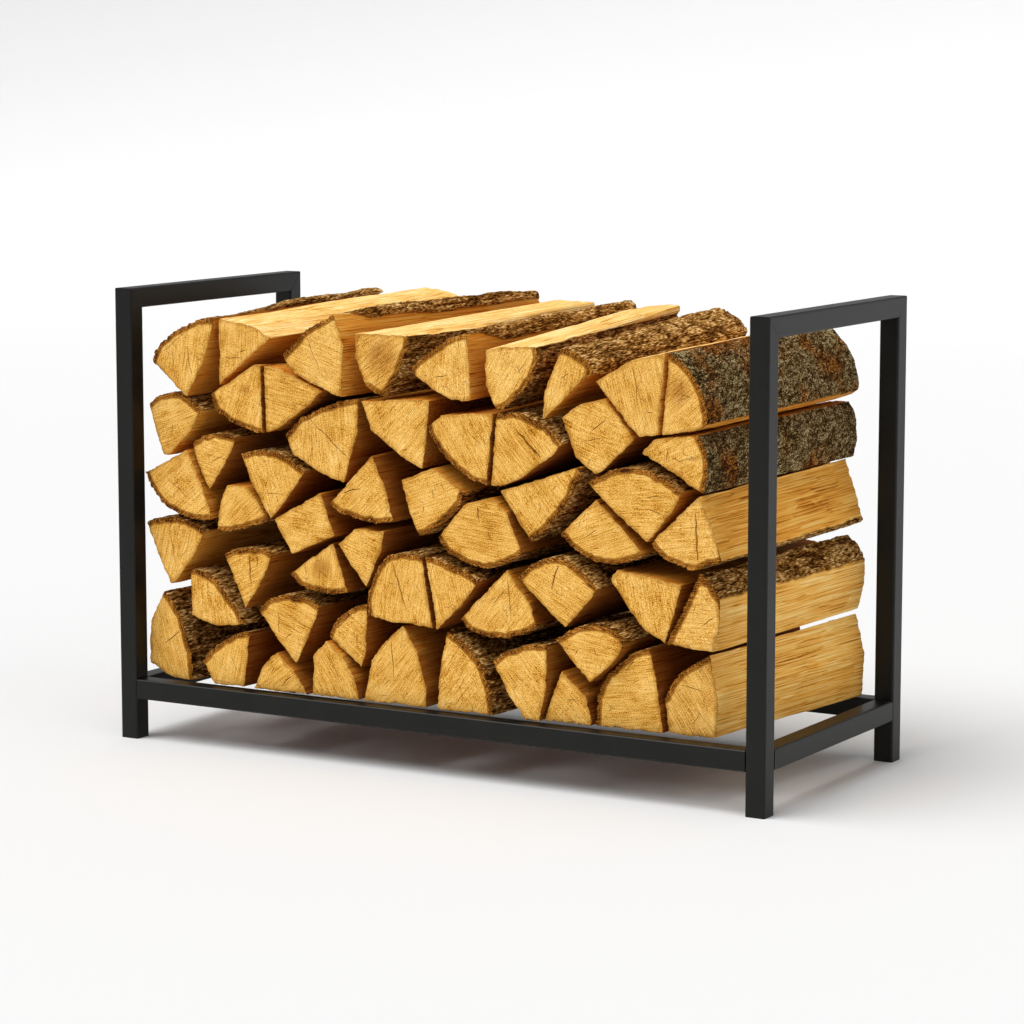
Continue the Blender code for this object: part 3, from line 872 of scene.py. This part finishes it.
def bark_color(tree, length, stops, patch):
    """Bark with grit of a length. patch is the tint of its odd patches, how strong that is, and
    the span of the noise over which it comes in."""
    place = add(tree, "ShaderNodeTexCoord").outputs["Object"]
    relief = add(tree, "ShaderNodeAttribute", attribute_name="relief").outputs["Fac"]
    broad = add(tree, "ShaderNodeTexNoise", {"Vector": place, "Scale": 1 / BARK_CLOUD, "Detail": 3.0})
    grit = drawn_noise(tree, place, GRIT, length, Detail=1.0)
    # The relief makes furrows darker and ridges paler: partly the bark's own colour, partly painted
    # shade in the furrows.
    shade = add_up(tree, ((broad.outputs["Fac"], 0.5), (grit, 1.9), (relief, 0.45)))
    shade = add(tree, "ShaderNodeMapRange", {"Value": shade, "From Min": 0.95, "From Max": 1.95})
    bark = add(tree, "ShaderNodeValToRGB", {"Fac": shade.outputs[0]}, stops=stops).outputs["Color"]
    code, most, low, high = patch
    spots = add(
        tree,
        "ShaderNodeTexNoise",
        {"Vector": place, "Scale": 1 / BARK_PATCH, "Detail": 4.0, "Roughness": 0.6},
    ).outputs["Fac"]
    where = add(
        tree, "ShaderNodeMapRange", {"Value": spots, "From Min": low, "From Max": high, "To Max": most}
    ).outputs[0]
    inputs = {0: 1.0, 6: bark, 7: linear(code)}
    tinted = add(tree, "ShaderNodeMix", inputs, data_type="RGBA", blend_type="MULTIPLY").outputs[2]
    return add(tree, "ShaderNodeMix", {0: where, 6: bark, 7: tinted}, data_type="RGBA").outputs[2]


def bark_bump(tree, length):
    place = add(tree, "ShaderNodeTexCoord").outputs["Object"]
    return drawn_noise(tree, place, GRIT, length, Detail=3.0), 1.0, 2.2 * MM


# Sawn oak end grain: pale gold and matt, with saw marks, faint rings and a dark rim of bark.
sawn_end = new_material("sawn_oak_end_grain", end_grain_color, 0.85, end_grain_bump, specular=0.08)
# Split oak long grain: torn fibres that run the length of the log, with painted shade: darker in the
# hollows, on the sides and on logs down in the stack, and paler where it faces up.
split_wood = new_material("split_oak_long_grain", long_grain_color, 0.8, long_grain_bump, specular=0.1)
# Furrowed bark: dry, dark in its furrows, partly its own colour and partly painted shade, and rubbed
# pale on its ridges.
furrowed_bark = new_material(
    "furrowed_oak_bark",
    lambda tree: bark_color(
        tree,
        SCALE_LENGTH,
        ((0.0, "#2A0E00"), (0.3, "#5C3509"), (0.55, "#8E6029"), (0.8, "#C3934F"), (1.0, "#F2CC90")),
        ("#A8977A", 0.8, 0.52, 0.66),
    ),
    0.92,
    lambda tree: bark_bump(tree, SCALE_LENGTH),
    specular=0.05,
)
# Bark under a crust of lichen: grey-brown and speckled, with bare rusty patches.
lichen_bark = new_material(
    "lichened_oak_bark",
    lambda tree: bark_color(
        tree,
        CRUST_LENGTH,
        ((0.0, "#160A00"), (0.34, "#3C270B"), (0.6, "#66502B"), (0.83, "#9A855C"), (1.0, "#C0B088")),
        ("#FFB65E", 0.9, 0.50, 0.63),
    ),
    0.93,
    lambda tree: bark_bump(tree, CRUST_LENGTH),
    specular=0.05,
)

# ---- The rack's finish ----


DUST = 45.5 * MM  # patches where the coat looks a shade paler
PEEL = 1.54 * MM


def coat_color(tree):
    place = add(tree, "ShaderNodeTexCoord").outputs["Object"]
    dust = add(
        tree,
        "ShaderNodeTexNoise",
        {"Vector": place, "Scale": 1 / DUST, "Detail": 5.0, "Roughness": 0.6},
    )
    coat = add(
        tree,
        "ShaderNodeValToRGB",
        {"Fac": dust.outputs["Fac"]},
        stops=((0.3, "#090A08"), (0.7, "#10110E")),
    )
    return coat.outputs["Color"]


def coat_bump(tree):
    place = add(tree, "ShaderNodeTexCoord").outputs["Object"]
    peel = add(tree, "ShaderNodeTexNoise", {"Vector": place, "Scale": 1 / PEEL, "Detail": 2.0})
    return peel.outputs["Fac"], 0.25, 0.25 * MM


# Satin black powder coat on steel tube: near black, with a slight orange peel.
powder_coat = new_material("satin_black_powder_coat", coat_color, 0.42, coat_bump, specular=0.25)

bodies = frame["record"]["behaviour"]["bodies"]
node_body = {node: body for body, nodes in bodies.items() for node in nodes}
for node, obj in frame["nodes"].items():
    if "_log_" not in node:
        obj.data.materials.clear()
        obj.data.materials.append(powder_coat)


# ---- Building the stack ----

number = 0
made_logs = []
for course, barks in BARK_SIDE.items():
    for place, bark_side in enumerate(barks, 1):
        node = f"{course}_log_{place:02d}"
        front, y_front = face_outline(node, rear=False)
        rear, y_rear = face_outline(node, rear=True)
        left, right = rear[:, 0].min(), rear[:, 0].max()
        rear[:, 0] += WIDER_BEHIND.get(node, 0) * MM * (rear[:, 0] - left) / (right - left)
        if node in PARTED:
            names = (f"{node}_left", f"{node}_right")
            split = PARTED[node]
            parts = list(zip(names, halves(front, split), halves(rear, split), bark_side))
        else:
            parts = [(node, front, rear, bark_side)]
        for name, part_front, part_rear, part_bark in parts:
            number += 1
            log = make_log(name, node, part_front, part_rear, y_front, y_rear, part_bark, number)
            made_logs.append(log)


# ---- Loose stuff on the logs, by Geometry Nodes ----

MOST_CRUMBS = 400000.0  # a square metre, before those too close together are dropped


def crumbs_tree():
    """Strews flat crumbs over the faces of some logs where an attribute is 1, each laid along
    the log and turned to its surface."""
    tree = bpy.data.node_groups.new("crumbs", "GeometryNodeTree")
    tree.interface.new_socket(name="Crumbs", in_out="OUTPUT", socket_type="NodeSocketGeometry")
    for name, kind in (
        ("Logs", "NodeSocketCollection"),
        ("Where", "NodeSocketString"),
        ("Spacing", "NodeSocketFloat"),
        ("Smallest", "NodeSocketVector"),
        ("Largest", "NodeSocketVector"),
        ("Seed", "NodeSocketInt"),
        ("Finish", "NodeSocketMaterial"),
    ):
        tree.interface.new_socket(name=name, in_out="INPUT", socket_type=kind)
    given = add(tree, "NodeGroupInput").outputs
    logs = add(
        tree,
        "GeometryNodeCollectionInfo",
        {"Collection": given["Logs"]},
        transform_space="RELATIVE",
    )
    logs = add(tree, "GeometryNodeRealizeInstances", {"Geometry": logs.outputs[0]})
    marked = add(tree, "GeometryNodeInputNamedAttribute", {"Name": given["Where"]}, data_type="FLOAT")
    inside = add(tree, "FunctionNodeCompare", {0: marked.outputs[0], 1: 0.9}, operation="GREATER_THAN")
    points = add(
        tree,
        "GeometryNodeDistributePointsOnFaces",
        {
            "Mesh": logs.outputs[0],
            "Selection": inside.outputs[0],
            "Distance Min": given["Spacing"],
            "Density Max": MOST_CRUMBS,
            "Seed": given["Seed"],
        },
        distribute_method="POISSON",
    )
    normal = points.outputs["Normal"]
    turn = add(tree, "FunctionNodeAlignRotationToVector", {"Vector": normal}, axis="Z")
    turn = add(
        tree,
        "FunctionNodeAlignRotationToVector",
        {"Rotation": turn.outputs[0], "Vector": (0, 1, 0)},
        axis="Y",
        pivot_axis="Z",
    )
    size = add(
        tree,
        "FunctionNodeRandomValue",
        {0: given["Smallest"], 1: given["Largest"], "Seed": given["Seed"]},
        data_type="FLOAT_VECTOR",
    )
    crumb = add(tree, "GeometryNodeMeshIcoSphere", {"Radius": 1.0, "Subdivisions": 1})
    crumbs = add(
        tree,
        "GeometryNodeInstanceOnPoints",
        {
            "Points": points.outputs["Points"],
            "Instance": crumb.outputs["Mesh"],
            "Rotation": turn.outputs[0],
            "Scale": size.outputs[0],
        },
    )
    crumbs = add(tree, "GeometryNodeRealizeInstances", {"Geometry": crumbs.outputs[0]})
    crumbs = add(
        tree,
        "GeometryNodeSetMaterial",
        {"Geometry": crumbs.outputs[0], "Material": given["Finish"]},
    )
    add(tree, "NodeGroupOutput", {"Crumbs": crumbs.outputs[0]})
    return tree


def strew(name, body, logs, tree, **values):
    """One mesh of crumbs on some logs of a body, or nothing where no face is marked for it."""
    group = bpy.data.collections.new(name + "_on")
    for log in logs:
        group.objects.link(log)
    host = bpy.data.objects.new(name, bpy.data.meshes.new(name))
    bpy.context.scene.collection.objects.link(host)
    modifier = host.modifiers.new("crumbs", "NODES")
    modifier.node_group = tree
    for item in tree.interface.items_tree:
        if item.in_out == "INPUT":
            value = group if item.name == "Logs" else values[item.name]
            modifier[item.identifier] = value
    evaluated = host.evaluated_get(bpy.context.evaluated_depsgraph_get())
    mesh = bpy.data.meshes.new_from_object(evaluated)
    host.modifiers.clear()
    bpy.data.collections.remove(group)
    if not len(mesh.polygons):
        bpy.data.objects.remove(host)
        return
    host.data = mesh
    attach(host, body)


# Kind of crumb: where it lies, its spacing, its least and greatest half sizes across, along and
# up, and its finish.
CRUMBS = {
    "lichen_crust": ("lichen", 3.0 * MM, (0.5, 0.6, 0.2), (1.1, 1.5, 0.5), lichen_bark),
    "bark_scales": ("furrow", 4.2 * MM, (0.4, 2.0, 0.2), (0.9, 5.5, 0.6), furrowed_bark),
    "splinters": ("split", 8 * MM, (0.15, 3.0, 0.1), (0.35, 8.0, 0.25), split_wood),
}
tree = crumbs_tree()
for body in frame["bodies"]:
    logs = [log for log in made_logs if node_body[log["node"]] == body and log.name.startswith(STREWN)]
    for kind, (where, spacing, least, most, finish) in CRUMBS.items():
        strew(
            f"{kind}_{body}",
            body,
            logs,
            tree,
            Where=where,
            Spacing=spacing,
            Smallest=[v * MM for v in least],
            Largest=[v * MM for v in most],
            Seed=7,
            Finish=finish,
        )


# ---- Stage and light ----

SWEEP_START = 8.0  # the floor turns up all round the rack, as a studio's paper backdrop does
SWEEP_RADIUS = 2.5
SWEEP_HEIGHT = 3.0
SWEEP_STEPS = 24
SPOKES = 96


def make_floor():
    """Pale paper that runs under the rack and sweeps up behind it on all sides."""
    profile = [(0.0, 0.0), (SWEEP_START, 0.0)]
    for i in range(1, SWEEP_STEPS + 1):
        turn = math.radians(90 * i / SWEEP_STEPS)
        out, up = SWEEP_RADIUS * math.sin(turn), SWEEP_RADIUS * (1 - math.cos(turn))
        profile.append((SWEEP_START + out, up))
    profile.append((SWEEP_START + SWEEP_RADIUS, SWEEP_HEIGHT))
    points = [(0.0, 0.0, 0.0)]
    faces = []
    for radius, height in profile[1:]:
        for k in range(SPOKES):
            turn = 2 * math.pi * k / SPOKES
            points.append((radius * math.cos(turn), radius * math.sin(turn), height))
    for k in range(SPOKES):
        faces.append((0, 1 + k, 1 + (k + 1) % SPOKES))
    for ring in range(len(profile) - 2):
        start = 1 + ring * SPOKES
        for k in range(SPOKES):
            after = (k + 1) % SPOKES
            faces.append((start + k, start + SPOKES + k, start + SPOKES + after, start + after))
    mesh = bpy.data.meshes.new("floor")
    mesh.from_pydata(points, [], faces)
    mesh.shade_smooth()
    floor = bpy.data.objects.new("floor", mesh)
    bpy.context.scene.collection.objects.link(floor)
    paper = bpy.data.materials.new("white_backdrop_paper")
    paper.use_nodes = True
    shader = paper.node_tree.nodes["Principled BSDF"]
    shader.inputs["Base Color"].default_value = linear("#DBDBDB")
    shader.inputs["Roughness"].default_value = 0.85
    shader.inputs["Specular IOR Level"].default_value = 0.2
    mesh.materials.append(paper)


def make_world():
    world = bpy.data.worlds.new("studio")
    world.use_nodes = True
    background = world.node_tree.nodes["Background"]
    background.inputs["Color"].default_value = linear("#FFFFFF")
    background.inputs["Strength"].default_value = 0.35
    bpy.context.scene.world = world


def soft_sun(name, place, strength, spread):
    """Even light from the direction of a place, as a big softbox gives it."""
    data = bpy.data.lights.new(name, "SUN")
    data.energy = strength
    data.angle = math.radians(spread)
    light = bpy.data.objects.new(name, data)
    light.rotation_euler = Vector(place).to_track_quat("Z", "Y").to_euler()
    bpy.context.scene.collection.objects.link(light)


make_floor()
make_world()
soft_sun("softbox", (-0.5, -0.62, 1.35), 2.9, 50)
soft_sun("overhead", (0.0, 0.0, 1.0), 0.45, 60)
soft_sun("fill", (1.0, -0.35, 0.45), 0.55, 60)
bpy.context.scene.view_settings.view_transform = "Standard"
bpy.context.scene.view_settings.look = "None"
make_camera()
